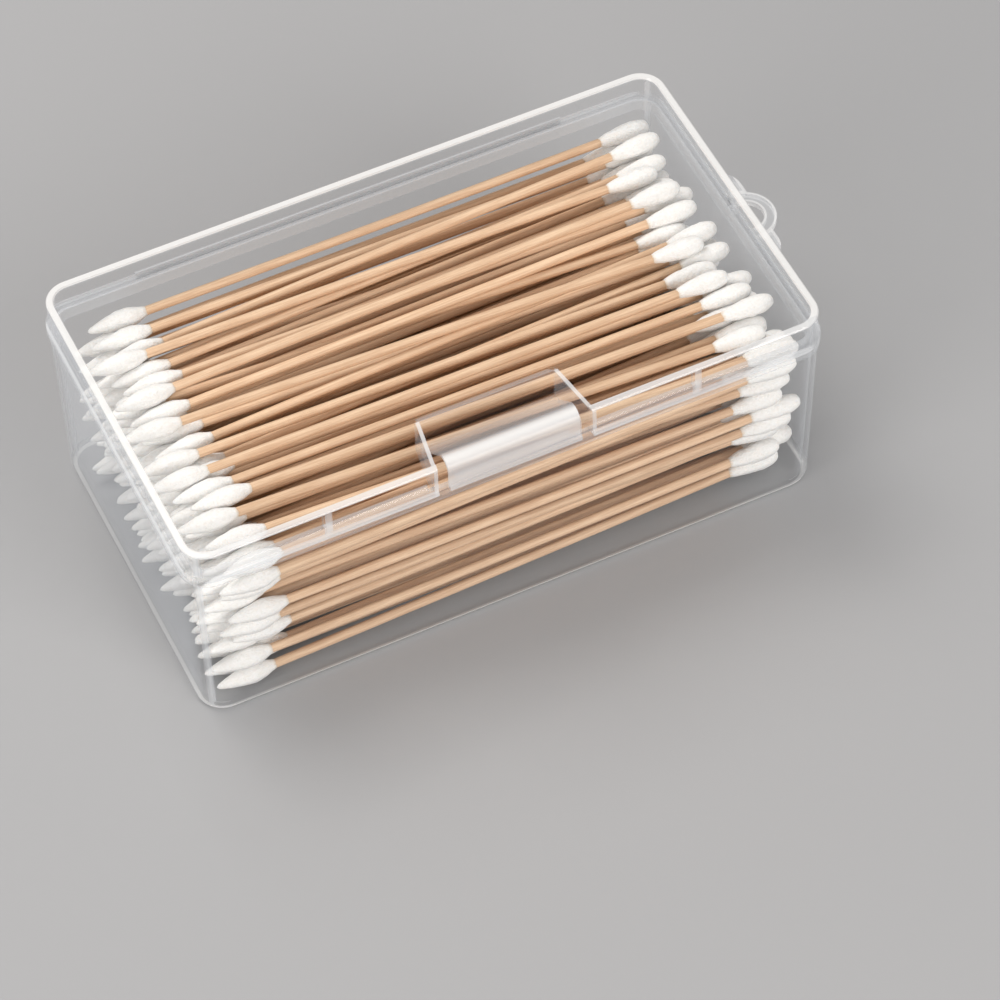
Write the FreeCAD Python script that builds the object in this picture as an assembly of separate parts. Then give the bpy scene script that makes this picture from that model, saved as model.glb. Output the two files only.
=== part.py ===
import FreeCAD, Part
import math
import os
import random

from FreeCAD import Placement, Rotation, Vector

# Clear hinged box of six-inch cotton swabs. Millimetres, +X along the swabs towards
# their round ends, -Y the latch side, +Y the hinge side, +Z up, and the origin at the
# middle of the underside.

# Swabs
swab_length = 151.0
stick_diameter = 2.15
pointed_tip_length = 15.5
pointed_tip_diameter = 4.7
pointed_widest_share = 0.42
round_tip_length = 14.0
round_tip_diameter = 4.6
round_tip_end = 2.7
round_widest_share = 0.64
tip_root_diameter = 3.0
swab_sides = 5

# Tray of the box, as long as the swabs need and as wide as the stack of them
swab_end_room = 4.9
foot_width = 90.8
end_flare = 0.6
side_flare = 0.9
corner_radius = 6.9
tray_height = 51.9
tray_wall = 1.3
floor_thickness = 1.5
foot_round = 1.4
foot_round_steps = 2

# Beads either side of the joint, and the lip that the lid closes over
bead_proud = 0.5
bead_height = 1.5
bead_chamfer = 0.35
ledge_depth = 2.0
lip_rise = 1.7
lip_thickness = 1.25
lid_clearance = 0.3
joint_gap = 0.1

# Lid
lid_height = 8.7
lid_top_inset = 0.3
lid_wall = 1.2
panel_thickness = 1.2
top_band_width = 1.9
top_band_height = 0.7
top_band_chamfer = 0.3

# Stiffening ribs inside the skirt of the lid, and friction nubs on the lip
rib_width = 1.8
rib_depth = 1.1
front_rib_x = 47.5
side_rib_y = 0.7
rib_lip_gap = 0.4
nub_y = 17.5
nub_length = 2.6
nub_height = 0.5
nub_proud = 0.18

# Latch: a notch in the front of the lid, with a springy tongue as its floor
notch_rear_y = -30.6
notch_rear_half = 17.4
notch_front_half = 19.9
notch_wall = 1.0
notch_depth = 10.7
notch_clearance = 0.9
tongue_half = 17.0
tongue_thickness = 0.95
tongue_ramp_angle = 34.0
tongue_crest_radius = 3.4
tongue_crest_drop = 0.5
tongue_root_slit = 3.0
catch_half = 14.5
catch_height = 0.6
catch_proud = 0.35
catch_clearance = 0.15

# Living hinge along the rear
hinge_half = 57.0
hinge_radius = 0.95
hinge_thickness = 0.35

# Hanging loop on the right-hand end
loop_thickness = 1.5
loop_drop = 0.2
loop_flange_half = 15.2
loop_flange_reach = 5.8
loop_corner_share = 0.9
loop_ring_radius = 7.5
loop_hole_radius = 4.5
loop_centre_reach = 2.15

# How the swabs lie in the box
pile_seed = 11
pile_layers = 10
pile_gap = 0.12
pile_skew = 4.6
pile_most_skew = 9.0
pile_most_tilt = 4.5
pile_end_margin = 0.6
pile_over_rim = 2.4
pile_trials = 300
pile_best_trials = 20
pile_stop_after = 8
pile_drop = 1.6
pile_fine_step = 1.9
pile_coarse_step = 8.0

# How far the cutting shapes run past what they cut, and past a slope's end
cut_over = 1.0
cut_skim = 0.01

# How closely edges and corners agree
tolerance = 1e-7

# Sizes that follow
foot_length = swab_length + 2 * (swab_end_room + tray_wall)
rim_length = foot_length + 2 * end_flare
rim_width = foot_width + 2 * side_flare
tray_top = tray_height
lid_bottom = tray_top + joint_gap
lid_top = lid_bottom + lid_height
panel_top = lid_top - top_band_height
panel_bottom = panel_top - panel_thickness
lip_top = tray_top + lip_rise
lip_outer_inset = lid_wall + lid_clearance
lip_inner_inset = lip_outer_inset + lip_thickness
ledge_slope = lip_inner_inset - tray_wall
front_y = -rim_width / 2
rear_y = rim_width / 2
notch_floor = lid_top - notch_depth


def rounded_outline(length, width, radius, z):
    """Closed wire of a rectangle with round corners, centred on the origin."""
    x = length / 2
    y = width / 2
    r = radius
    s = r * math.sqrt(0.5)
    corners = (
        (x - r, y - r, 1, 1),
        (-x + r, y - r, -1, 1),
        (-x + r, -y + r, -1, -1),
        (x - r, -y + r, 1, -1),
    )
    arcs = []
    for cx, cy, sx, sy in corners:
        along_x = Vector(cx + sx * r, cy, z)
        along_y = Vector(cx, cy + sy * r, z)
        middle = Vector(cx + sx * s, cy + sy * s, z)
        ends = (along_x, along_y) if sx * sy > 0 else (along_y, along_x)
        arcs.append((ends[0], middle, ends[1]))
    edges = []
    for number, (start, middle, end) in enumerate(arcs):
        edges.append(Part.Arc(start, middle, end).toShape())
        following = arcs[(number + 1) % len(arcs)][0]
        edges.append(Part.LineSegment(end, following).toShape())
    return Part.Wire(edges)


def tray_outline(inset, z, level=None):
    """Outline of the drafted tray wall at a level, moved inwards and drawn at z."""
    share = (z if level is None else level) / tray_height
    length = foot_length + (rim_length - foot_length) * share - 2 * inset
    width = foot_width + (rim_width - foot_width) * share - 2 * inset
    return rounded_outline(length, width, corner_radius - inset, z)


def rim_outline(inset, z):
    """Outline of the joint between tray and lid, moved inwards and drawn at z."""
    return tray_outline(inset, z, tray_height)


def lid_outline(inset, z):
    """Outline of the lid's skirt, which leans in a little towards its top."""
    lean = lid_top_inset * (z - lid_bottom) / lid_height
    return rim_outline(inset + lean, z)


def ruled(sections):
    return Part.makeLoft(sections, True, True)


def block(x0, x1, y0, y1, z0, z1):
    return Part.makeBox(x1 - x0, y1 - y0, z1 - z0, Vector(x0, y0, z0))


def swept_along_x(points, x0, x1):
    """Prism along X of a closed profile given as (y, z) points."""
    wire = Part.makePolygon([Vector(x0, y, z) for y, z in points + points[:1]])
    return Part.Face(wire).extrude(Vector(x1 - x0, 0, 0))


def tray_bead():
    low = tray_top - bead_height
    return ruled([
        rim_outline(0, low - bead_chamfer),
        rim_outline(-bead_proud, low),
        rim_outline(-bead_proud, tray_top),
    ])


def tray_outside():
    sections = []
    for step in range(foot_round_steps):
        angle = math.pi / 2 * step / foot_round_steps
        inset = foot_round * (1 - math.sin(angle))
        sections.append(tray_outline(inset, foot_round * (1 - math.cos(angle))))
    sections.append(tray_outline(0, foot_round))
    sections.append(tray_outline(0, tray_top))
    lip = ruled([
        rim_outline(lip_outer_inset, tray_top - bead_height),
        rim_outline(lip_outer_inset, lip_top - bead_chamfer),
        rim_outline(lip_outer_inset + bead_chamfer, lip_top),
    ])
    return ruled(sections).fuse([tray_bead(), lip])


def tray_hollow():
    ledge_bottom = tray_top - ledge_depth
    return ruled([
        tray_outline(tray_wall, floor_thickness),
        tray_outline(tray_wall, ledge_bottom - ledge_slope),
        rim_outline(lip_inner_inset, ledge_bottom),
        rim_outline(lip_inner_inset, lip_top + cut_over),
    ])


def lip_gaps():
    """Breaks in the lip where the walls of the latch notch come down over it."""
    inner = catch_half + catch_clearance
    outer = notch_front_half + notch_wall + notch_clearance
    y0 = front_y + lip_outer_inset - nub_proud
    y1 = front_y + lip_inner_inset + ledge_slope
    gaps = []
    for side in (-1, 1):
        x0, x1 = sorted((side * inner, side * outer))
        gaps.append(block(x0, x1, y0, y1, tray_top, lip_top + cut_over))
    return gaps


def catch_ridge():
    """Ridge on the outside of the lip that the tongue's hook snaps under."""
    y = front_y + lip_outer_inset
    top = lip_top - bead_chamfer
    points = [
        (y + lip_thickness / 2, top),
        (y, top),
        (y - catch_proud, top - catch_height / 2),
        (y, top - catch_height),
        (y + lip_thickness / 2, top - catch_height),
    ]
    return swept_along_x(points, -catch_half, catch_half)


def friction_nubs():
    """Small nubs on the lip's two ends that hold the lid when it is pushed on."""
    nubs = []
    high = lip_top - 2 * bead_chamfer
    low = high - nub_height
    outer = rim_length / 2 - lip_outer_inset + nub_proud
    for side in (-1, 1):
        for y in (-nub_y, nub_y):
            x0, x1 = sorted((side * outer, side * (outer - lip_thickness / 2)))
            nubs.append(block(x0, x1, y - nub_length / 2, y + nub_length / 2, low, high))
    return nubs


def hanging_loop():
    """Flat tab on the right-hand end: a rounded flange with a ring to hang it by."""
    top = tray_top - bead_height - loop_drop
    low = top - loop_thickness
    wall_x = rim_length / 2
    reach = wall_x + loop_flange_reach
    corner = loop_flange_reach * loop_corner_share
    flange = block(wall_x - tray_wall / 2, reach, -loop_flange_half, loop_flange_half, low, top)
    ends = [
        edge for edge in flange.Edges
        if abs(edge.Length - loop_thickness) < tolerance and edge.CenterOfMass.x > wall_x
    ]
    flange = flange.makeFillet(corner, ends)
    centre = Vector(wall_x + loop_centre_reach, 0, low)
    ring = Part.makeCylinder(loop_ring_radius, loop_thickness, centre)
    hole_start = centre - Vector(0, 0, cut_over)
    hole = Part.makeCylinder(loop_hole_radius, loop_thickness + 2 * cut_over, hole_start)
    inside = block(0, wall_x - tray_wall / 2, -rim_width, rim_width, low - cut_over, top + cut_over)
    return flange.fuse(ring).cut(hole).cut(inside)


def make_tray():
    tray = tray_outside().fuse(hanging_loop())
    tray = tray.cut(tray_hollow())
    tray = tray.cut(lip_gaps())
    return tray.fuse([catch_ridge()] + friction_nubs()).removeSplitter()


def notch_plan(grow):
    """Corners of the latch notch seen from above, grown outwards by a wall."""
    front = front_y - bead_proud - cut_over
    lean = (notch_front_half - notch_rear_half) / (notch_rear_y - front_y)
    front_half = notch_rear_half + lean * (notch_rear_y - front)
    rear = notch_rear_y + grow
    rear_half = notch_rear_half - lean * grow
    return [
        (-front_half - grow, front),
        (front_half + grow, front),
        (rear_half + grow, rear),
        (-rear_half - grow, rear),
    ]


def notch_prism(grow, z0, z1):
    points = [Vector(x, y, z0) for x, y in notch_plan(grow)]
    face = Part.Face(Part.makePolygon(points + points[:1]))
    return face.extrude(Vector(0, 0, z1 - z0))


def notch_walls():
    """Rear and side walls of the notch, deep inside the box and shallow over the rim."""
    far = rim_width
    wall = notch_prism(notch_wall, notch_floor - tongue_thickness, panel_top)
    wall = wall.cut(notch_prism(0, 0, lid_top + cut_over))
    outside = block(-far, far, -far, front_y + lid_wall / 2, 0, lid_top + cut_over)
    over_rim = block(-far, far, -far, front_y + lip_inner_inset + lid_clearance, 0, lid_bottom)
    return wall.cut([outside, over_rim])


def tongue_profile():
    """Section of the tongue: a ramp up from the notch's foot, over a round crest and
    down the front of the lid, as the points of its upper face and then its lower."""
    ramp = math.radians(tongue_ramp_angle)
    front = front_y + lid_top_inset / 2
    crest_z = lid_top - tongue_crest_drop
    centre_y = front + tongue_crest_radius
    centre_z = crest_z - tongue_crest_radius
    start = math.radians(90) - ramp
    turns = 7
    upper = [(notch_rear_y + notch_wall / 2, notch_floor)]
    lower = [(notch_rear_y + notch_wall / 2, notch_floor - tongue_thickness)]
    upper.append((notch_rear_y, notch_floor))
    lower.append((notch_rear_y, notch_floor - tongue_thickness))
    for turn in range(turns + 1):
        angle = start + (math.pi - start) * turn / turns
        for points, radius in (
            (upper, tongue_crest_radius),
            (lower, tongue_crest_radius - tongue_thickness),
        ):
            points.append((
                centre_y + radius * math.cos(angle),
                centre_z + radius * math.sin(angle),
            ))
    return upper, lower


def tongue():
    upper, lower = tongue_profile()
    front, centre_z = upper[-1]
    inner = lower[-1][0]
    hook_top = lip_top - bead_chamfer - catch_height - catch_clearance
    upper.append((front, lid_bottom + bead_height))
    upper.append((front - bead_proud, lid_bottom + bead_height - bead_chamfer))
    upper.append((front - bead_proud, lid_bottom))
    hook_tip = front_y + lip_outer_inset - catch_proud
    lower.append((inner, hook_top))
    body = swept_along_x(upper + [(inner, lid_bottom)] + lower[::-1], -tongue_half, tongue_half)
    hook = swept_along_x(
        [
            (inner - tongue_thickness / 2, hook_top),
            (inner, hook_top),
            (hook_tip, hook_top - catch_height / 2),
            (inner, hook_top - catch_height),
            (inner - tongue_thickness / 2, hook_top - catch_height),
        ],
        -catch_half, catch_half,
    )
    root = block(
        -notch_rear_half - notch_wall / 2, notch_rear_half + notch_wall / 2,
        notch_rear_y - tongue_root_slit, notch_rear_y + notch_wall / 2,
        0, lid_top,
    )
    ramp = swept_along_x(
        upper[:3] + lower[:3][::-1],
        -notch_rear_half - notch_wall / 2, notch_rear_half + notch_wall / 2,
    )
    return body.fuse([hook, ramp.common(root)])


def lid_shell():
    outside = ruled([
        lid_outline(-bead_proud, lid_bottom),
        lid_outline(-bead_proud, lid_bottom + bead_height - bead_chamfer),
        lid_outline(0, lid_bottom + bead_height),
        lid_outline(0, lid_top - top_band_chamfer),
        lid_outline(top_band_chamfer, lid_top),
    ])
    inside = ruled([
        lid_outline(lid_wall, lid_bottom - cut_over),
        lid_outline(lid_wall, panel_bottom),
    ])
    dish = ruled([
        lid_outline(top_band_width, panel_top),
        lid_outline(top_band_width - top_band_chamfer, lid_top + cut_skim),
    ])
    return outside.cut([inside, dish])


def skirt_ribs():
    """Short upright ribs inside the skirt, two at the front and one on each end."""
    low = lip_top + rib_lip_gap
    high = panel_bottom + panel_thickness / 2
    half = rib_width / 2
    deep = lid_wall + rib_depth
    ribs = []
    for x in (-front_rib_x, front_rib_x):
        ribs.append(block(x - half, x + half, front_y + lid_wall / 2, front_y + deep, low, high))
    for side in (-1, 1):
        x0, x1 = sorted((side * (rim_length / 2 - lid_wall / 2), side * (rim_length / 2 - deep)))
        ribs.append(block(x0, x1, side_rib_y - half, side_rib_y + half, low, high))
    return ribs


def make_lid():
    shell = lid_shell().fuse(skirt_ribs())
    shell = shell.cut(notch_prism(0, 0, lid_top + cut_over))
    return shell.fuse([notch_walls(), tongue()]).removeSplitter()


def make_hinge():
    """Thin web bent round behind the rim, from the tray's bead to the lid's bead."""
    y = rear_y + bead_proud
    z = tray_top + joint_gap / 2
    outer = hinge_radius + hinge_thickness / 2
    inner = hinge_radius - hinge_thickness / 2
    start = Vector(-hinge_half, y, z)
    ring = Part.makeCylinder(outer, 2 * hinge_half, start, Vector(1, 0, 0))
    ring = ring.cut(Part.makeCylinder(inner, 2 * hinge_half, start, Vector(1, 0, 0)))
    return ring.common(block(-rim_length, rim_length, y, y + 2 * outer, 0, lid_top))


def turned_solid(stations):
    """Solid with flat sides along X through (distance, diameter) stations, where a
    first diameter of nothing is a point."""
    rings = []
    for x, diameter in stations:
        ring = []
        for side in range(swab_sides):
            angle = 2 * math.pi * side / swab_sides
            ring.append(Vector(x, diameter / 2 * math.cos(angle), diameter / 2 * math.sin(angle)))
        rings.append(ring)
    pointed = stations[0][1] == 0
    closed = rings[-1:] if pointed else [rings[0], rings[-1]]
    faces = [Part.Face(Part.makePolygon(ring + ring[:1])) for ring in closed]
    for number, (near, far) in enumerate(zip(rings, rings[1:])):
        for side in range(swab_sides):
            other = (side + 1) % swab_sides
            if pointed and number == 0:
                corners = [near[0], far[other], far[side], near[0]]
            else:
                corners = [near[side], near[other], far[other], far[side], near[side]]
            faces.append(Part.Face(Part.makePolygon(corners)))
    solid = Part.Solid(Part.Shell(faces))
    solid.fixTolerance(tolerance)
    if solid.Volume < 0:
        solid.reverse()
    return solid


# Stations of each piece along the swab, from its pointed end
pointed_stations = [
    (0.0, 0.0),
    (pointed_tip_length * (1 - pointed_widest_share), pointed_tip_diameter),
    (pointed_tip_length, tip_root_diameter),
]
stick_stations = [
    (pointed_tip_length, stick_diameter),
    (swab_length - round_tip_length, stick_diameter),
]
round_stations = [
    (swab_length - round_tip_length, tip_root_diameter),
    (swab_length - round_tip_length * (1 - round_widest_share), round_tip_diameter),
    (swab_length, round_tip_end),
]


def swab_radius(distance):
    """Radius of a swab at a distance from its pointed end, zero beyond its ends."""
    for stations in (pointed_stations, stick_stations, round_stations):
        for (x0, d0), (x1, d1) in zip(stations, stations[1:]):
            if x0 <= distance <= x1:
                return (d0 + (d1 - d0) * (distance - x0) / (x1 - x0)) / 2
    return 0.0


tip_radii = (pointed_tip_diameter / 2, round_tip_diameter / 2)


def pile_stations():
    """Places along the box where swabs are compared, closer together at the tips."""
    half = swab_length / 2 + swab_end_room
    tips = max(pointed_tip_length, round_tip_length) + 2 * swab_end_room
    places = []
    x = -half
    while x <= half:
        places.append(x)
        x += pile_fine_step if half - abs(x) < tips else pile_coarse_step
    return places


class Swab:
    """One swab in the pile: the side place and height of its axis at both ends, and
    its share along, side place and radius at each of the pile's stations."""

    def __init__(self, y_point, y_round, shift, stations):
        self.y = (y_point, y_round)
        self.z = [0.0, 0.0]
        self.shift = shift
        self.line = []
        for x in stations:
            distance = x + swab_length / 2 - shift
            share = distance / swab_length
            self.line.append((share, y_point + (y_round - y_point) * share, swab_radius(distance)))


def rest_height(placed, end, y):
    """Height at which the widest part of a tip at y lies on the floor or on such tips."""
    reach = 2 * tip_radii[end] + pile_gap
    height = floor_thickness + tip_radii[end] + pile_gap
    for other in placed:
        aside = y - other.y[end]
        if abs(aside) < reach:
            height = max(height, other.z[end] + math.sqrt(reach * reach - aside * aside))
    return height


def near_to(swab, placed):
    """Swabs that lie close enough to one to touch it once it has settled."""
    reach = 2 * max(tip_radii) + pile_gap
    near = []
    for other in placed:
        aside = [swab.y[end] - other.y[end] for end in (0, 1)]
        above = [swab.z[end] - other.z[end] for end in (0, 1)]
        if min(aside) < reach and max(aside) > -reach and min(above) < 2 * reach:
            near.append(other)
    return near


def clear_of(swab, near):
    """Whether a swab keeps the pile's gap from the swabs near it."""
    low, high = swab.z
    for number, (share, y, radius) in enumerate(swab.line):
        if radius == 0:
            continue
        z = low + (high - low) * share
        for other in near:
            other_share, other_y, other_radius = other.line[number]
            reach = radius + other_radius + pile_gap
            aside = y - other_y
            if other_radius > 0 and -reach < aside < reach:
                above = z - other.z[0] - (other.z[1] - other.z[0]) * other_share
                if aside * aside + above * above < reach * reach:
                    return False
    return True


def settle(swab, near):
    """Lowers a swab and then each of its ends, by smaller and smaller steps, to rest."""
    step = pile_drop
    while step > pile_gap / 2:
        moved = False
        for ends in ((0, 1), (0,), (1,)):
            before = list(swab.z)
            for end in ends:
                swab.z[end] -= step
            floor = [floor_thickness + tip_radii[end] + pile_gap for end in (0, 1)]
            above_floor = swab.z[0] >= floor[0] and swab.z[1] >= floor[1]
            level = abs(swab.z[0] - swab.z[1]) <= pile_most_tilt
            if above_floor and level and clear_of(swab, near):
                moved = True
            else:
                swab.z = before
        if not moved:
            step /= 2


def under_ceiling(swab):
    """Whether a swab stays below the fill level and below the latch notch."""
    for end in (0, 1):
        if swab.z[end] + tip_radii[end] > tray_top + pile_over_rim:
            return False
    y = sum(swab.y) / 2
    top = sum(swab.z) / 2 + stick_diameter / 2
    notch_reach = notch_rear_y + notch_wall + stick_diameter / 2 + notch_clearance
    return y > notch_reach or top < notch_floor - tongue_thickness - notch_clearance


def settled_pile():
    """Swabs dropped into the box one after another, each into the lowest place found."""
    chance = random.Random(pile_seed)
    stations = pile_stations()
    wall_side = min(foot_width / 2 - tray_wall, rim_width / 2 - lip_inner_inset)
    side = wall_side - pile_gap - max(tip_radii)
    wall_end = min(foot_length / 2 - tray_wall, rim_length / 2 - lip_inner_inset)
    end_play = wall_end - swab_length / 2 - pile_end_margin
    placed = []
    misses = 0
    while misses < pile_stop_after:
        trials = []
        for trial in range(pile_trials):
            y_point = chance.uniform(-side, side)
            skew = max(-pile_most_skew, min(pile_most_skew, chance.gauss(0, pile_skew)))
            shift = chance.uniform(-end_play, end_play)
            if abs(y_point + skew) > side:
                continue
            swab = Swab(y_point, y_point + skew, shift, stations)
            swab.z = [rest_height(placed, end, swab.y[end]) for end in (0, 1)]
            if abs(swab.z[0] - swab.z[1]) <= pile_most_tilt:
                trials.append(swab)
        trials.sort(key=lambda swab: sum(swab.z))
        settled = []
        for swab in trials[:pile_best_trials]:
            near = near_to(swab, placed)
            if clear_of(swab, near):
                settle(swab, near)
                settled.append(swab)
        settled.sort(key=lambda swab: sum(swab.z))
        if settled and under_ceiling(settled[0]):
            placed.append(settled[0])
            misses = 0
        else:
            misses += 1
    return placed


def place_swab(swab, turn):
    """Placement that lays a swab's own X axis along its line in the pile."""
    start = Vector(-swab_length / 2 + swab.shift, swab.y[0], swab.z[0])
    lean = Vector(swab_length, swab.y[1] - swab.y[0], swab.z[1] - swab.z[0])
    turned = Rotation(Vector(1, 0, 0), lean).multiply(Rotation(Vector(1, 0, 0), turn))
    return Placement(start, turned)


def make_swabs():
    """Pieces of the swabs, a group of sticks and of each kind of tip for each layer."""
    kinds = {
        "sticks": turned_solid(stick_stations),
        "pointed_tips": turned_solid(pointed_stations),
        "round_tips": turned_solid(round_stations),
    }
    chance = random.Random(pile_seed + 1)
    pile = settled_pile()
    placements = [place_swab(swab, chance.uniform(0, 360 / swab_sides)) for swab in pile]
    groups = {}
    for layer in range(pile_layers):
        first = len(pile) * layer // pile_layers
        last = len(pile) * (layer + 1) // pile_layers
        for kind, piece in kinds.items():
            copies = []
            for placement in placements[first:last]:
                copy = piece.copy()
                copy.Placement = placement
                copies.append(copy)
            groups["%s_layer_%02d" % (kind, layer + 1)] = Part.makeCompound(copies)
    return groups


def main():
    os.makedirs("parts", exist_ok=True)
    nodes = {
        "base_tray": make_tray(),
        "lid": make_lid(),
        "living_hinge": make_hinge(),
    }
    nodes.update(make_swabs())
    for name, shape in nodes.items():
        shape.exportStep("parts/%s.step" % name)


main()
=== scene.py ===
import functools
import math
import random

import bmesh
import bpy
import numpy as np
from mathutils import Matrix, Vector, noise


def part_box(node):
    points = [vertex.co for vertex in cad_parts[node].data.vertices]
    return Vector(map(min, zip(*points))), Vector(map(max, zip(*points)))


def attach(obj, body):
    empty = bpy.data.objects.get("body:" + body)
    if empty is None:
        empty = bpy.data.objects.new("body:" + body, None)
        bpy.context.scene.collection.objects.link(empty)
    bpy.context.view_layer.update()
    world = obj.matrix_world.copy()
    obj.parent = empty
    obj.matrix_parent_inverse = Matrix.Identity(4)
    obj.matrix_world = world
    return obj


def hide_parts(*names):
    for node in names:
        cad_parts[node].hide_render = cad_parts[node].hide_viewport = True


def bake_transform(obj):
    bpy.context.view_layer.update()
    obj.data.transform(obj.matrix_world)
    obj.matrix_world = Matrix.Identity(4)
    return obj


# Clear hinged box of long cotton swabs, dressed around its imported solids. Metres.
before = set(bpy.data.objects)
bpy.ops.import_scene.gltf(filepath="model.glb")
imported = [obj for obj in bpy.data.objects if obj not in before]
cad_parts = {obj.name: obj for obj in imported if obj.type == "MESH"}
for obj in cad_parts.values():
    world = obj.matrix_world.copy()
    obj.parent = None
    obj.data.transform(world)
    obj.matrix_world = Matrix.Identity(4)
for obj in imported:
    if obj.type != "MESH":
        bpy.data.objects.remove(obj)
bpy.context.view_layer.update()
MM = 0.001

# Camera, fitted to the edges of the box in the photograph
CAMERA_AZIMUTH = math.radians(-24.34)
CAMERA_ELEVATION = math.radians(51.908)
CAMERA_ROLL = math.radians(-1.684)
CAMERA_TARGET = Vector((-0.904, -38.356, 30.0)) * MM
CAMERA_DISTANCE = 1050.99 * MM
CAMERA_LENS = 159.35
CAMERA_SENSOR = 36.0

# Corners of one ring of a swab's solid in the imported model
SWAB_SIDES = 5

# Ribs in the front and the sides of the lid, the latch notch, its tongue, and the hanging loop. The
# reach is how far the painted highlight on the tongue's crest fades out.
RIB_X = 47.5 * MM
SIDE_RIB_Y = 0.7 * MM
RIB_WIDTH = 1.8 * MM
NOTCH_REAR = -30.6 * MM
NOTCH_REAR_MIDDLE = 17.9 * MM
NOTCH_LEAN = 0.16
NOTCH_WALL = 1.0 * MM
TONGUE_HALF = 17.0 * MM
TONGUE_ROOT_TOP = 51.0 * MM
TONGUE_CREST = -43.7 * MM
TONGUE_REACH = 2.6 * MM
LOOP_RING = 7.5 * MM
LOOP_HOLE = 4.5 * MM
LOOP_FLANGE = 5.3 * MM

# How strongly each place gathers light, as the alpha of the plastic there: a painted glow. The
# tongue's painted crest highlight comes on top of its base.
LID_TOP_FRONT_GLOW = 0.64
LID_TOP_GLOW = 0.78
LID_RIM_GLOW = 0.4
RIB_GLOW = 0.35
NOTCH_RIM_GLOW = 0.6
NOTCH_FRONT_GLOW = 0.45
NOTCH_REAR_GLOW = 0.2
LID_CORNER_GLOW = 0.35
TONGUE_CREST_GLOW = 0.56
TONGUE_BASE_GLOW = 0.22
BEAD_GLOW = 0.2
FOOT_GLOW = 0.68
LOOP_GLOW = 0.6
TRAY_CORNER_GLOW = 0.36
HINGE_GLOW = 0.5

# The clear plastic, its added haze by face and the painted highlight on its rounded edges, and its
# colours thin and where it gathers light as painted glow
PLASTIC_ROUGHNESS = 0.06
FROSTED_ROUGHNESS = 0.32
PLASTIC_IOR = 1.49
PLASTIC_TINT = (0.80, 0.85, 0.92)
PLASTIC_WHITE = (0.94, 0.93, 0.915)
WALL_VEIL = -0.02
TRAY_EDGE_HIGHLIGHT = 0.42
LID_EDGE_HIGHLIGHT = 0.38
HINGE_VEIL = 0.1

# Widths of the rounded edges, and half the width of the loop's bright lines
TRAY_ROUNDING = 0.22 * MM
LID_ROUNDING = 0.18 * MM
LOOP_LINE = 0.6 * MM

# The strip of the hinge web
WEB_THICKNESS = 0.35 * MM
WEB_STEPS = 24

# Depth of the lid's bright top band, height of its rim, how far its bright side edge and
# its ribs reach in, and the height of the tray's bead and the size of its foot line
LID_BAND_DEPTH = 0.55 * MM
LID_RIM_HEIGHT = 4.5 * MM
LID_SIDE_EDGE = 0.75 * MM
RIB_DEPTH = 2.75 * MM
BEAD_HEIGHT = 3.6 * MM
FOOT_HEIGHT = 1.6 * MM
FOOT_WIDTH = 1.5 * MM

# Half the length over which a mask fades at its border
FINE_FADE = 0.1 * MM
RIB_FADE = 0.15 * MM
LINE_FADE = 0.2 * MM
FOOT_FADE = 0.4 * MM
SIDE_FADE = 0.45 * MM

# Offset of the wood and cotton grain from one swab to the next
GRAIN_SHIFT = 37.0

# Outline of the tray's foot
FOOT_HALF_X = 81.7 * MM
FOOT_HALF_Y = 45.4 * MM
FOOT_CORNER = 6.9 * MM

# Faces with more corners than this are rings round the box, which are cut up, and faces
# larger than this area are plain walls and panels
LARGEST_FACE = 50
LARGE_AREA = 2500 * MM * MM

# Places on the box that its materials and edges need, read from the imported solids
tray_low, tray_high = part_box("base_tray")
lid_low, lid_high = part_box("lid")
hinge_low, hinge_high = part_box("living_hinge")


# Node helpers

class Graph:
    """A material's node tree, with short calls that make a node and return its output."""

    def __init__(self, name):
        self.material = bpy.data.materials.new(name)
        self.material.use_nodes = True
        self.tree = self.material.node_tree
        self.tree.nodes.clear()
        self.output = self.tree.nodes.new("ShaderNodeOutputMaterial")

    def put(self, socket, value):
        if isinstance(value, bpy.types.NodeSocket):
            self.tree.links.new(value, socket)
        elif isinstance(value, (tuple, list)) and len(value) == 3 and socket.type == "RGBA":
            socket.default_value = (*value, 1.0)
        else:
            socket.default_value = value

    def node(self, kind, inputs=None, **settings):
        made = self.tree.nodes.new(kind)
        for key, value in settings.items():
            setattr(made, key, value)
        for key, value in (inputs or {}).items():
            self.put(made.inputs[key], value)
        return made

    def math(self, operation, a, b=0.0, c=0.0):
        made = self.node("ShaderNodeMath", operation=operation)
        for socket, value in zip(made.inputs, (a, b, c)):
            self.put(socket, value)
        return made.outputs[0]

    def ramp(self, value, low, high, to_low=0.0, to_high=1.0):
        inputs = {"Value": value, "From Min": low, "From Max": high,
                  "To Min": to_low, "To Max": to_high}
        made = self.node("ShaderNodeMapRange", inputs, interpolation_type="SMOOTHSTEP")
        return made.outputs["Result"]

    def mix(self, share, a, b):
        made = self.node("ShaderNodeMix", data_type="RGBA")
        self.put(made.inputs[0], share)
        self.put(made.inputs[6], a)
        self.put(made.inputs[7], b)
        return made.outputs[2]

    def place(self):
        """The x, y and z of a point on the piece at rest, in metres."""
        place = self.node("ShaderNodeTexCoord").outputs["Object"]
        return self.node("ShaderNodeSeparateXYZ", {0: place}).outputs

    def noise(self, vector, scale, detail=3.0, roughness=0.5):
        inputs = {"Vector": vector, "Scale": scale, "Detail": detail, "Roughness": roughness}
        return self.node("ShaderNodeTexNoise", inputs).outputs["Fac"]

    def bump(self, height, strength, distance):
        inputs = {"Height": height, "Strength": strength, "Distance": distance}
        return self.node("ShaderNodeBump", inputs).outputs["Normal"]

    def surface(self, inputs):
        shader = self.node("ShaderNodeBsdfPrincipled", inputs)
        self.tree.links.new(shader.outputs[0], self.output.inputs[0])
        return self.material


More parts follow.
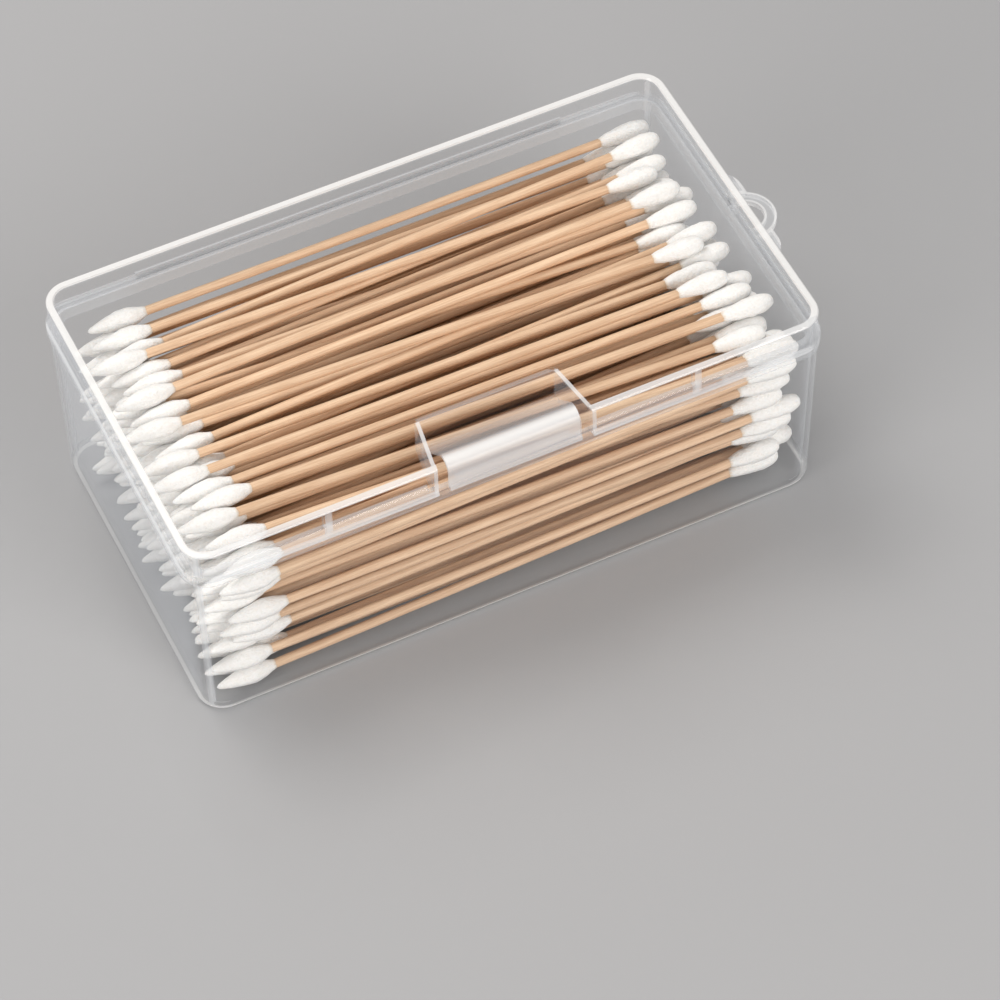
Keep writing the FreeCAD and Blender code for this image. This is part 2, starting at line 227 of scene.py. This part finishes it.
def stored_grain(graph):
    """Distance from the root, angle round the axis, and the own number of each swab."""
    stored = graph.node("ShaderNodeAttribute", attribute_name="grain").outputs["Vector"]
    return graph.node("ShaderNodeSeparateXYZ", {0: stored}).outputs


def grain_coordinates(graph, grain, along, around):
    """Coordinates that follow each swab: its own distance along, and round its axis."""
    distance, turn, own_number = grain
    cosine = graph.math("MULTIPLY", graph.math("COSINE", turn), around)
    sine = graph.math("MULTIPLY", graph.math("SINE", turn), around)
    shift = graph.math("MULTIPLY", own_number, GRAIN_SHIFT)
    inputs = {
        0: graph.math("ADD", graph.math("MULTIPLY", distance, along), shift),
        1: graph.math("ADD", cosine, shift),
        2: sine,
    }
    return graph.node("ShaderNodeCombineXYZ", inputs).outputs[0]


def birch_material():
    graph = Graph("birch")
    grain = stored_grain(graph)
    coarse = grain_coordinates(graph, grain, 60.0, 1.6)
    fine = grain_coordinates(graph, grain, 260.0, 7.0)
    streaks = graph.noise(coarse, 1.6, 2.0, 0.6)
    fibres = graph.noise(fine, 1.5, 2.0, 0.65)
    tone = graph.node("ShaderNodeTexWhiteNoise", {"W": grain[2]}, noise_dimensions="1D")
    shade = graph.ramp(streaks, 0.32, 0.7)
    light = graph.mix(shade, (0.72, 0.50, 0.34), (0.86, 0.645, 0.465))
    own = graph.mix(tone.outputs["Value"], (0.86, 0.81, 0.76), (1.06, 1.04, 1.0))
    made = graph.node("ShaderNodeMix", data_type="RGBA", blend_type="MULTIPLY")
    made.inputs[0].default_value = 1.0
    graph.put(made.inputs[6], light)
    graph.put(made.inputs[7], own)
    pores = graph.ramp(fibres, 0.28, 0.45)
    colour = graph.mix(pores, (0.46, 0.28, 0.15), made.outputs[2])
    colour = graph.mix(0.86, colour, made.outputs[2])
    return graph.surface({
        "Base Color": colour,
        "Roughness": graph.ramp(streaks, 0.2, 0.8, 0.62, 0.48),
        "Specular IOR Level": 0.35,
        "Normal": graph.bump(fibres, 0.25, 0.1 * MM),
    })


def cotton_material():
    graph = Graph("cotton")
    grain = stored_grain(graph)
    vector = grain_coordinates(graph, grain, 900.0, 5.0)
    wound = graph.noise(vector, 1.0, 1.0, 0.7)
    place = graph.node("ShaderNodeTexCoord").outputs["Object"]
    fluff = graph.noise(place, 1300.0, 1.0, 0.7)
    height = graph.math("MULTIPLY_ADD", wound, 0.6, fluff)
    # Painted shade: the cotton is drawn darker where its bump height is low.
    hollow_shade = graph.ramp(height, 0.5, 0.95)
    colour = graph.mix(hollow_shade, (0.90, 0.885, 0.86), (0.975, 0.965, 0.95))
    ragged = graph.math("MULTIPLY_ADD", wound, THIN_COTTON, grain[0])
    thick = graph.ramp(ragged, 0.4 * THIN_COTTON, 1.6 * THIN_COTTON)
    colour = graph.mix(thick, (0.82, 0.68, 0.54), colour)
    return graph.surface({
        "Base Color": colour,
        "Roughness": 0.95,
        "Specular IOR Level": 0.15,
        "Subsurface Weight": 0.6,
        "Subsurface Radius": (1.0, 0.93, 0.88),
        "Subsurface Scale": 1.2 * MM,
        "Sheen Weight": 0.25,
        "Sheen Roughness": 0.6,
        "Normal": graph.bump(height, 0.7, 0.35 * MM),
    })


def glance_haze(graph, face_on_alpha):
    """Haze of a clear wall: the given alpha face on, never below 0, and more at a glance; on the
    rounded edges that alpha is a painted highlight.
    """
    glance = graph.node("ShaderNodeLayerWeight", {"Blend": 0.5}).outputs["Facing"]
    edge = graph.math("POWER", glance, 3.5)
    return graph.math("MAXIMUM", graph.math("MULTIPLY_ADD", edge, 0.55, face_on_alpha), 0.0)


def clear_plastic(name, bright, face_on_alpha):
    """Thin clear plastic: see-through face on, whiter at a glance, and whitened with painted glow
    at its edges and beads.

    bright(graph) gives the painted glow where an edge or bead gathers light, from 0 to 1, and how
    much frost the plastic has with a painted highlight on it, None for not at all. bright is None
    for a plain wall."""
    graph = Graph(name)
    clear = glance_haze(graph, face_on_alpha)
    if bright is None:
        return graph.surface({
            "Base Color": PLASTIC_TINT,
            "Roughness": PLASTIC_ROUGHNESS,
            "IOR": PLASTIC_IOR,
            "Alpha": clear,
        })
    white, frost_and_highlight = bright(graph)
    rough = PLASTIC_ROUGHNESS
    if frost_and_highlight is not None:
        white = graph.math("MAXIMUM", white, frost_and_highlight)
        rough = graph.ramp(frost_and_highlight, 0.0, 0.6, PLASTIC_ROUGHNESS, FROSTED_ROUGHNESS)
    alpha = graph.math("MINIMUM", graph.math("MAXIMUM", clear, white), 1.0)
    return graph.surface({
        "Base Color": graph.mix(white, PLASTIC_TINT, PLASTIC_WHITE),
        "Roughness": rough,
        "IOR": PLASTIC_IOR,
        "Alpha": alpha,
    })


# Swab pieces

def solids_of(node):
    """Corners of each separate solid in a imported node, each sorted along the swab."""
    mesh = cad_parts[node].data
    points = np.zeros(len(mesh.vertices) * 3)
    mesh.vertices.foreach_get("co", points)
    points = points.reshape(-1, 3)
    unique, which = np.unique(np.round(points, 7), axis=0, return_inverse=True)
    which = which.reshape(-1)
    group = np.arange(len(unique))
    faces = [[which[i] for i in polygon.vertices] for polygon in mesh.polygons]
    changed = True
    while changed:
        changed = False
        for face in faces:
            least = min(group[i] for i in face)
            for i in face:
                if group[i] != least:
                    group[i] = least
                    changed = True
    solids = []
    for number in np.unique(group):
        corners = unique[group == number]
        solids.append(corners[np.argsort(corners[:, 0])])
    return solids


def axis_of(corners, pointed):
    """Middle of the first and of the last ring of a swab's solid, or the point of a tip."""
    first = corners[0] if pointed else corners[:SWAB_SIDES].mean(axis=0)
    return first, corners[-SWAB_SIDES:].mean(axis=0)


def smooth_profile(points, steps):
    """Radii at even steps along a profile of (share, radius) points, with no kinks."""
    shares = np.array([p[0] for p in points])
    radii = np.array([p[1] for p in points])
    slopes = np.gradient(radii, shares)
    at = np.linspace(shares[0], shares[-1], steps)
    values = []
    for share in at:
        i = min(max(np.searchsorted(shares, share) - 1, 0), len(points) - 2)
        width = shares[i + 1] - shares[i]
        t = (share - shares[i]) / width
        a = (2 * t ** 3 - 3 * t ** 2 + 1) * radii[i]
        b = (t ** 3 - 2 * t ** 2 + t) * width * slopes[i]
        c = (-2 * t ** 3 + 3 * t ** 2) * radii[i + 1]
        d = (t ** 3 - t ** 2) * width * slopes[i + 1]
        values.append(max(a + b + c + d, 0.0))
    return at, np.array(values)


def across(direction):
    """Two unit vectors square to a direction."""
    side = np.cross(direction, (0.0, 0.0, 1.0))
    side /= np.linalg.norm(side)
    return side, np.cross(side, direction)


def round_piece(name, lines, profile, sides, steps, ripple, seeds, bow, root):
    """Mesh of round pieces along lines, with a profile, a rippled skin and a slight bow.
    The grain runs from the start of a piece, or from its end with root 1."""
    shares, radii = smooth_profile(profile, steps)
    vertices = []
    faces = []
    grain = []
    for (start, end), seed in zip(lines, seeds):
        direction = end - start
        length = np.linalg.norm(direction)
        side, up = across(direction / length)
        chance = random.Random(seed * 7919)
        lean = chance.uniform(0, 2 * math.pi)
        bowed = bow * chance.uniform(-1, 1)
        first = len(vertices)
        for share, radius in zip(shares, radii):
            centre = start + direction * share
            centre = centre + bowed * math.sin(math.pi * min(max(share, 0), 1)) * (
                side * math.cos(lean) + up * math.sin(lean))
            for number in range(sides):
                angle = 2 * math.pi * number / sides
                spoke = side * math.cos(angle) + up * math.sin(angle)
                skin = radius * (1 + ripple(share, angle, seed))
                vertices.append(centre + spoke * skin)
                grain.append((abs(share - root) * length, angle, seed % 1000 / 1000))
        for ring in range(steps - 1):
            for number in range(sides):
                other = (number + 1) % sides
                a = first + ring * sides
                b = a + sides
                faces.append((a + number, b + number, b + other, a + other))
        faces.append(tuple(first + i for i in range(sides)))
        last = first + (steps - 1) * sides
        faces.append(tuple(last + i for i in reversed(range(sides))))
    mesh = bpy.data.meshes.new(name)
    mesh.from_pydata([tuple(v) for v in vertices], [], faces)
    attribute = mesh.attributes.new("grain", "FLOAT_VECTOR", "POINT")
    attribute.data.foreach_set("vector", np.array(grain).reshape(-1))
    mesh.polygons.foreach_set("use_smooth", [True] * len(mesh.polygons))
    piece = bpy.data.objects.new(name, mesh)
    bpy.context.scene.collection.objects.link(piece)
    return piece


def stick_ripple(share, angle, seed):
    """Slight flats and swellings of a turned birch stick."""
    swell = noise.noise(Vector((share * 9, seed * 1.7, 0.3)))
    flat = noise.noise(Vector((math.cos(angle) * 0.9, math.sin(angle) * 0.9, seed * 0.9)))
    return 0.018 * swell + 0.03 * flat


def cotton_ripple(share, angle, seed):
    """Lumps and wound ridges of a cotton tip."""
    around = Vector((math.cos(angle), math.sin(angle), 0.0))
    lump = noise.noise(around * 0.9 + Vector((seed * 3.1, 0, share * 2.2)))
    fine = noise.noise(around * 2.6 + Vector((seed * 1.3, 5, share * 9)))
    wound = math.sin(angle + share * 26 + seed)
    return 0.07 * lump + 0.06 * fine + 0.008 * wound


# Radii of the stick and of each tip at its widest, and the most that a stick bows
STICK_RADIUS = 1.14 * MM
POINTED_RADIUS = 2.45 * MM
ROUND_RADIUS = 2.4 * MM
STICK_BOW = 0.2 * MM

# Length over which the cotton thins out onto the stick
THIN_COTTON = 1.1 * MM

# Outlines as (share of the solid's length, share of the widest radius)
STICK_OUTLINE = [(-0.03, 0.99), (0.0, 1.0), (0.5, 1.0), (1.0, 1.0), (1.03, 0.99)]
POINTED_OUTLINE = [(0.0, 0.03), (0.012, 0.15), (0.04, 0.25), (0.12, 0.42), (0.25, 0.65),
                   (0.4, 0.86), (0.54, 0.98), (0.63, 1.0), (0.73, 0.94), (0.81, 0.82),
                   (0.88, 0.66), (0.94, 0.54), (1.0, 0.42)]
ROUND_OUTLINE = [(0.0, 0.42), (0.06, 0.54), (0.13, 0.64), (0.23, 0.77), (0.37, 0.89), (0.52, 0.98),
                 (0.66, 1.0), (0.78, 0.95), (0.88, 0.8), (0.95, 0.58), (0.985, 0.33), (1.0, 0.03)]


def dress_swabs(birch, cotton):
    """Replaces each layer's solids with round sticks and soft cotton tips."""
    # Name, outline, widest radius, sides, rings, ripple, material and share at the root
    kinds = (
        ("sticks", STICK_OUTLINE, STICK_RADIUS, 12, 24, stick_ripple, birch, 0),
        ("pointed_tips", POINTED_OUTLINE, POINTED_RADIUS, 20, 34, cotton_ripple, cotton, 1),
        ("round_tips", ROUND_OUTLINE, ROUND_RADIUS, 20, 30, cotton_ripple, cotton, 0),
    )
    for number, (kind, outline, radius, sides, steps, ripple, material, root) in enumerate(kinds):
        profile = [(share, part * radius) for share, part in outline]
        bow = STICK_BOW if kind == "sticks" else 0.0
        for node in sorted(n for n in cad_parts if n.startswith(kind + "_layer")):
            pointed = kind == "pointed_tips"
            lines = [axis_of(corners, pointed) for corners in solids_of(node)]
            layer = int(node[-2:])
            seeds = [layer * 100 + i * 3 + number for i in range(len(lines))]
            piece = round_piece(
                "swab_" + node, lines, profile, sides, steps, ripple, seeds, bow, root)
            piece.data.materials.append(material)
            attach(piece, "base")
            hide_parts(node)


# The box

def softened(node, name, width, body, materials):
    """Copy of a packed moulding with rounded edges, in its place. The materials are those of its
    large faces, of its small faces and of its edges, whose extra alpha is a painted highlight."""
    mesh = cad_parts[node].data.copy()
    mesh.name = name
    mesh.materials.clear()
    for material in materials:
        mesh.materials.append(material)
    work = bmesh.new()
    work.from_mesh(mesh)
    bmesh.ops.remove_doubles(work, verts=work.verts, dist=0.002 * MM)
    bmesh.ops.dissolve_limit(
        work, angle_limit=math.radians(1.0), verts=work.verts, edges=work.edges)
    rings = [face for face in work.faces if len(face.verts) > LARGEST_FACE]
    cut_up = bmesh.ops.triangulate(work, faces=rings)["faces"]
    for face in work.faces:
        face.smooth = face not in cut_up
        face.material_index = 0 if face.calc_area() > LARGE_AREA else 1
    work.to_mesh(mesh)
    work.free()
    piece = bpy.data.objects.new(name, mesh)
    bpy.context.scene.collection.objects.link(piece)
    bevel = piece.modifiers.new("rounding", "BEVEL")
    # The rounded edges take the last material, with a painted highlight along every edge.
    bevel.material = len(materials) - 1
    bevel.width = width
    bevel.segments = 2
    bevel.limit_method = "ANGLE"
    bevel.angle_limit = math.radians(35)
    bevel.use_clamp_overlap = True
    weights = piece.modifiers.new("normals", "WEIGHTED_NORMAL")
    weights.keep_sharp = False
    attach(piece, body)
    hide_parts(node)


def rising(graph, value, border, fade):
    """0 below a border and 1 above it, with a fade to both sides."""
    return graph.ramp(value, border - fade, border + fade)


def falling(graph, value, border, fade):
    """1 below a border and 0 above it, with a fade to both sides."""
    return graph.ramp(value, border + fade, border - fade)


def near(graph, value, middle, reach):
    """1 where a value lies within reach of a middle, falling to 0 just outside."""
    away = graph.math("ABSOLUTE", graph.math("SUBTRACT", value, middle))
    return falling(graph, away, reach, FINE_FADE)


def both(graph, *masks):
    return functools.reduce(lambda a, b: graph.math("MULTIPLY", a, b), masks)


def either(graph, *masks):
    return functools.reduce(lambda a, b: graph.math("MAXIMUM", a, b), masks)


def corner_line(graph):
    """A line of gathered light down the middle of each upright rounded corner."""
    normal = graph.node("ShaderNodeTexCoord").outputs["Normal"]
    parts = graph.node("ShaderNodeSeparateXYZ", {0: normal}).outputs
    both_ways = graph.math("ABSOLUTE", graph.math("MULTIPLY", parts["X"], parts["Y"]))
    return graph.ramp(both_ways, 0.47, 0.499)


def lid_bright(graph):
    """Where the lid gathers light, as painted glow at its raised band, bead, ribs and notch walls,
    and how much frost it has at the tongue, with a painted highlight along the tongue's crest."""
    x, y, z = graph.place()
    half = graph.math("ABSOLUTE", x)
    depth = graph.math("ABSOLUTE", y)
    top = rising(graph, z, lid_high.z - LID_BAND_DEPTH, FINE_FADE)
    low = falling(graph, z, lid_low.z + LID_RIM_HEIGHT, FINE_FADE)
    out_y = rising(graph, depth, lid_high.y - LID_SIDE_EDGE, SIDE_FADE)
    out_x = rising(graph, half, lid_high.x - LID_SIDE_EDGE, SIDE_FADE)
    rim = both(graph, low, either(graph, out_x, out_y))
    front_ribs = both(graph, near(graph, half, RIB_X, RIB_WIDTH / 2),
                      falling(graph, y, lid_low.y + RIB_DEPTH, RIB_FADE))
    side_ribs = both(graph, near(graph, y, SIDE_RIB_Y, RIB_WIDTH / 2),
                     rising(graph, half, lid_high.x - RIB_DEPTH, RIB_FADE))
    in_notch = graph.ramp(y, NOTCH_REAR + 0.2 * MM, NOTCH_REAR - 0.1 * MM)
    along = graph.math("MULTIPLY", graph.math("SUBTRACT", NOTCH_REAR, y), NOTCH_LEAN)
    middle = graph.math("ADD", along, NOTCH_REAR_MIDDLE)
    walls = both(graph, in_notch, near(graph, half, middle, NOTCH_WALL / 2))
    rear_wall = both(graph, near(graph, y, NOTCH_REAR + NOTCH_WALL / 2, NOTCH_WALL / 2),
                     graph.ramp(half, NOTCH_REAR_MIDDLE + 0.2 * MM, NOTCH_REAR_MIDDLE),
                     graph.ramp(z, lid_high.z - 2.6 * MM, lid_high.z - 1.6 * MM))
    rims = both(graph, walls, graph.ramp(z, lid_high.z - 1.6 * MM, lid_high.z - 0.8 * MM))
    front = both(graph, walls, graph.ramp(y, lid_low.y + 2.2 * MM, lid_low.y + 1.2 * MM))
    band = graph.ramp(y, lid_low.y + 2.8 * MM, lid_low.y + 3.4 * MM,
                      LID_TOP_FRONT_GLOW, LID_TOP_GLOW)
    gathered = either(
        graph,
        graph.math("MULTIPLY", top, band),
        graph.math("MULTIPLY", rim, LID_RIM_GLOW),
        graph.math("MULTIPLY", either(graph, front_ribs, side_ribs), RIB_GLOW),
        graph.math("MULTIPLY", rims, NOTCH_RIM_GLOW),
        graph.math("MULTIPLY", front, NOTCH_FRONT_GLOW),
        graph.math("MULTIPLY", rear_wall, NOTCH_REAR_GLOW),
        graph.math("MULTIPLY", corner_line(graph), LID_CORNER_GLOW),
    )
    before_wall = graph.ramp(y, NOTCH_REAR - 1.2 * MM, NOTCH_REAR - 1.4 * MM)
    under_wall = graph.ramp(z, TONGUE_ROOT_TOP + 0.3 * MM, TONGUE_ROOT_TOP)
    tongue = both(graph, graph.ramp(half, TONGUE_HALF + 0.15 * MM, TONGUE_HALF + 0.05 * MM),
                  in_notch, either(graph, before_wall, under_wall))
    # Painted highlight along the tongue's crest, on top of its frost.
    crest = graph.ramp(graph.math("ABSOLUTE", graph.math("SUBTRACT", y, TONGUE_CREST)),
                       TONGUE_REACH, 0.0)
    frost_and_highlight = both(graph, tongue, graph.math("MULTIPLY_ADD", crest, TONGUE_CREST_GLOW,
                                          TONGUE_BASE_GLOW))
    return gathered, frost_and_highlight


def beyond_outline(graph, half_x, half_y, corner):
    """How far a point lies outside a rounded outline, negative inside it."""
    place = graph.place()
    beyond_x = graph.math("SUBTRACT", graph.math("ABSOLUTE", place["X"]), half_x - corner)
    beyond_y = graph.math("SUBTRACT", graph.math("ABSOLUTE", place["Y"]), half_y - corner)
    out_x = graph.math("MAXIMUM", beyond_x, 0.0)
    out_y = graph.math("MAXIMUM", beyond_y, 0.0)
    squares = graph.math("MULTIPLY_ADD", out_x, out_x, graph.math("MULTIPLY", out_y, out_y))
    within = graph.math("MINIMUM", graph.math("MAXIMUM", beyond_x, beyond_y), 0.0)
    return graph.math("SUBTRACT", graph.math("ADD", graph.math("SQRT", squares), within), corner)


def tray_bright(graph):
    """Where the tray gathers light: its bead and lip, its foot and its hanging loop."""
    x, y, z = graph.place()
    bead = rising(graph, z, tray_high.z - BEAD_HEIGHT, LINE_FADE)
    from_foot = beyond_outline(graph, FOOT_HALF_X, FOOT_HALF_Y, FOOT_CORNER)
    foot = both(graph, falling(graph, z, FOOT_HEIGHT, FOOT_FADE),
                rising(graph, from_foot, -FOOT_WIDTH, LINE_FADE))
    away = graph.math("SUBTRACT", x, tray_high.x - LOOP_RING)
    squares = graph.math("ADD", graph.math("MULTIPLY", away, away), graph.math("MULTIPLY", y, y))
    radius = graph.math("SQRT", squares)
    outside = graph.ramp(x, lid_high.x + 0.1 * MM, lid_high.x + 0.3 * MM)
    beyond_ring = graph.ramp(radius, LOOP_RING - 0.6 * MM, LOOP_RING - 0.4 * MM)
    flange = graph.ramp(x, lid_high.x + LOOP_FLANGE - 0.9 * MM, lid_high.x + LOOP_FLANGE - 0.7 * MM)
    ring = both(graph, outside, either(graph, near(graph, radius, LOOP_RING, LOOP_LINE),
                                       near(graph, radius, LOOP_HOLE, LOOP_LINE),
                                       both(graph, beyond_ring, flange)))
    gathered = either(
        graph,
        graph.math("MULTIPLY", bead, BEAD_GLOW),
        graph.math("MULTIPLY", foot, FOOT_GLOW),
        graph.math("MULTIPLY", ring, LOOP_GLOW),
        graph.math("MULTIPLY", corner_line(graph), TRAY_CORNER_GLOW),
    )
    return gathered, None


def hinge_plastic():
    """Plastic of the hinge web, evenly whitened all over with a painted glow."""
    graph = Graph("hinge_clear")
    colour = tuple(a + (b - a) * HINGE_GLOW for a, b in zip(PLASTIC_TINT, PLASTIC_WHITE))
    return graph.surface({
        "Base Color": colour,
        "Roughness": PLASTIC_ROUGHNESS,
        "IOR": PLASTIC_IOR,
        "Alpha": graph.math("MAXIMUM", glance_haze(graph, HINGE_VEIL), HINGE_GLOW),
    })


def hinge_web(material):
    """The living hinge as a fine bent strip."""
    axis_y = hinge_low.y
    axis_z = (hinge_low.z + hinge_high.z) / 2
    outer = hinge_high.y - hinge_low.y
    half = hinge_high.x
    vertices = []
    faces = []
    for step in range(WEB_STEPS + 1):
        angle = -math.pi / 2 + math.pi * step / WEB_STEPS
        for radius in (outer, outer - WEB_THICKNESS):
            for x in (-half, half):
                y = axis_y + radius * math.cos(angle)
                vertices.append((x, y, axis_z + radius * math.sin(angle)))
    for step in range(WEB_STEPS):
        a = step * 4
        b = a + 4
        faces.append((a, a + 1, b + 1, b))
        faces.append((a + 3, a + 2, b + 2, b + 3))
        faces.append((a + 2, a, b, b + 2))
        faces.append((a + 1, a + 3, b + 3, b + 1))
    faces.append((0, 2, 3, 1))
    last = WEB_STEPS * 4
    faces.append((last, last + 1, last + 3, last + 2))
    mesh = bpy.data.meshes.new("hinge_web")
    mesh.from_pydata(vertices, [], faces)
    mesh.materials.append(material)
    piece = bpy.data.objects.new("hinge_web", mesh)
    bpy.context.scene.collection.objects.link(piece)
    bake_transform(piece)
    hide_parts("living_hinge")


# Floor, lights and camera

FLOOR_COLOUR = (0.40, 0.405, 0.42)
FLOOR_HALF = 4.0
FLOOR_GAP = 0.05 * MM
LAMP_COLOUR = (1.0, 0.965, 0.92)
WORLD_COLOUR = (1.0, 0.98, 0.96, 1.0)
WORLD_STRENGTH = 0.41

# Name, place, aim, width, height and power of each softbox
LAMPS = (
    ("softbox_rear", (-0.2, 0.5, 0.8), (0, 0, 0.03), 0.6, 0.4, 4.8),
    ("softbox_left", (-0.8, -0.25, 0.45), (0, 0, 0.03), 0.45, 0.45, 2.9),
    ("softbox_front", (0.3, -0.8, 0.5), (0, 0, 0.02), 0.6, 0.35, 4.7),
)

def lay_floor():
    graph = Graph("floor")
    material = graph.surface({"Base Color": FLOOR_COLOUR, "Roughness": 0.8})
    mesh = bpy.data.meshes.new("floor")
    far = FLOOR_HALF
    corners = [(-far, -far, 0), (far, -far, 0), (far, far, 0), (-far, far, 0)]
    mesh.from_pydata(corners, [], [(0, 1, 2, 3)])
    mesh.materials.append(material)
    floor = bpy.data.objects.new("floor", mesh)
    bpy.context.scene.collection.objects.link(floor)
    floor.location.z = -FLOOR_GAP


def area_light(name, place, aim, width, height, power):
    light = bpy.data.lights.new(name, "AREA")
    light.color = LAMP_COLOUR
    light.shape = "RECTANGLE"
    light.size = width
    light.size_y = height
    light.energy = power
    lamp = bpy.data.objects.new(name, light)
    lamp.location = place
    lamp.rotation_euler = (Vector(aim) - Vector(place)).to_track_quat("-Z", "Y").to_euler()
    bpy.context.scene.collection.objects.link(lamp)


def light_studio():
    world = bpy.data.worlds.new("studio")
    world.use_nodes = True
    background = world.node_tree.nodes["Background"]
    background.inputs["Color"].default_value = WORLD_COLOUR
    background.inputs["Strength"].default_value = WORLD_STRENGTH
    bpy.context.scene.world = world
    for lamp in LAMPS:
        area_light(*lamp)


def place_camera():
    back = Vector((
        math.sin(CAMERA_AZIMUTH) * math.cos(CAMERA_ELEVATION),
        -math.cos(CAMERA_AZIMUTH) * math.cos(CAMERA_ELEVATION),
        math.sin(CAMERA_ELEVATION),
    ))
    right = (-back).cross(Vector((0, 0, 1))).normalized()
    up = right.cross(-back).normalized()
    turned_right = math.cos(CAMERA_ROLL) * right + math.sin(CAMERA_ROLL) * up
    turned_up = -math.sin(CAMERA_ROLL) * right + math.cos(CAMERA_ROLL) * up
    data = bpy.data.cameras.new("camera")
    data.lens = CAMERA_LENS
    data.sensor_width = CAMERA_SENSOR
    data.clip_start = 0.01
    camera = bpy.data.objects.new("camera", data)
    turn = Matrix((turned_right, turned_up, back)).transposed()
    spot = CAMERA_TARGET + back * CAMERA_DISTANCE
    camera.matrix_world = Matrix.Translation(spot) @ turn.to_4x4()
    bpy.context.scene.collection.objects.link(camera)
    bpy.context.scene.camera = camera


place_camera()
birch = birch_material()
cotton = cotton_material()
dress_swabs(birch, cotton)
softened("base_tray", "clear_tray", TRAY_ROUNDING, "base",
         [clear_plastic("tray_wall", None, WALL_VEIL),
          clear_plastic("tray_clear", tray_bright, WALL_VEIL),
          clear_plastic("tray_edge_highlight", tray_bright, TRAY_EDGE_HIGHLIGHT)])
softened("lid", "clear_lid", LID_ROUNDING, "lid",
         [clear_plastic("lid_panel", None, WALL_VEIL),
          clear_plastic("lid_clear", lid_bright, WALL_VEIL),
          clear_plastic("lid_edge_highlight", lid_bright, LID_EDGE_HIGHLIGHT)])
hinge_web(hinge_plastic())
lay_floor()
light_studio()
bpy.context.scene.view_settings.view_transform = "Standard"
